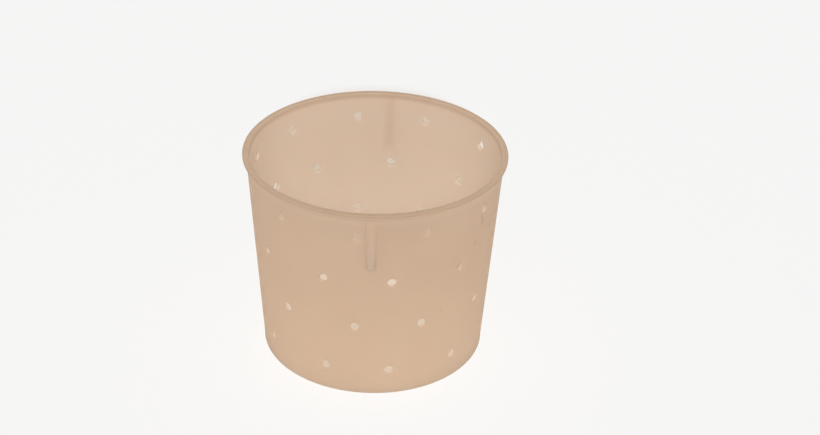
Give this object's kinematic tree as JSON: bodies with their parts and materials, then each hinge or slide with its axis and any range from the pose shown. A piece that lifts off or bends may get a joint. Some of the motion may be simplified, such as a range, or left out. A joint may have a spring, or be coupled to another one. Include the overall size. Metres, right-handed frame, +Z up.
{
  "type": "cheese mold",
  "caption": "Tapered round drainer cup with an open top, a rounded rim, staggered rows of small drain holes and short outside lugs below the rim for stacking.",
  "frame": {"origin": "centre of the round foot, on the surface the cup stands on", "axes": "+Z up out of the open top, the front lug near -Y and the back lug near +Y, +X to the right seen from the front"},
  "size_m": [0.105, 0.105, 0.086],
  "materials": {
    "polypropylene": "matt, slightly translucent beige"
  },
  "bodies": {
    "root": {"side_wall": "polypropylene", "rim": "polypropylene", "base_plate": "polypropylene", "foot_ring": "polypropylene", "stacking_lug_front": "polypropylene", "stacking_lug_back": "polypropylene"}
  },
  "joints": []
}
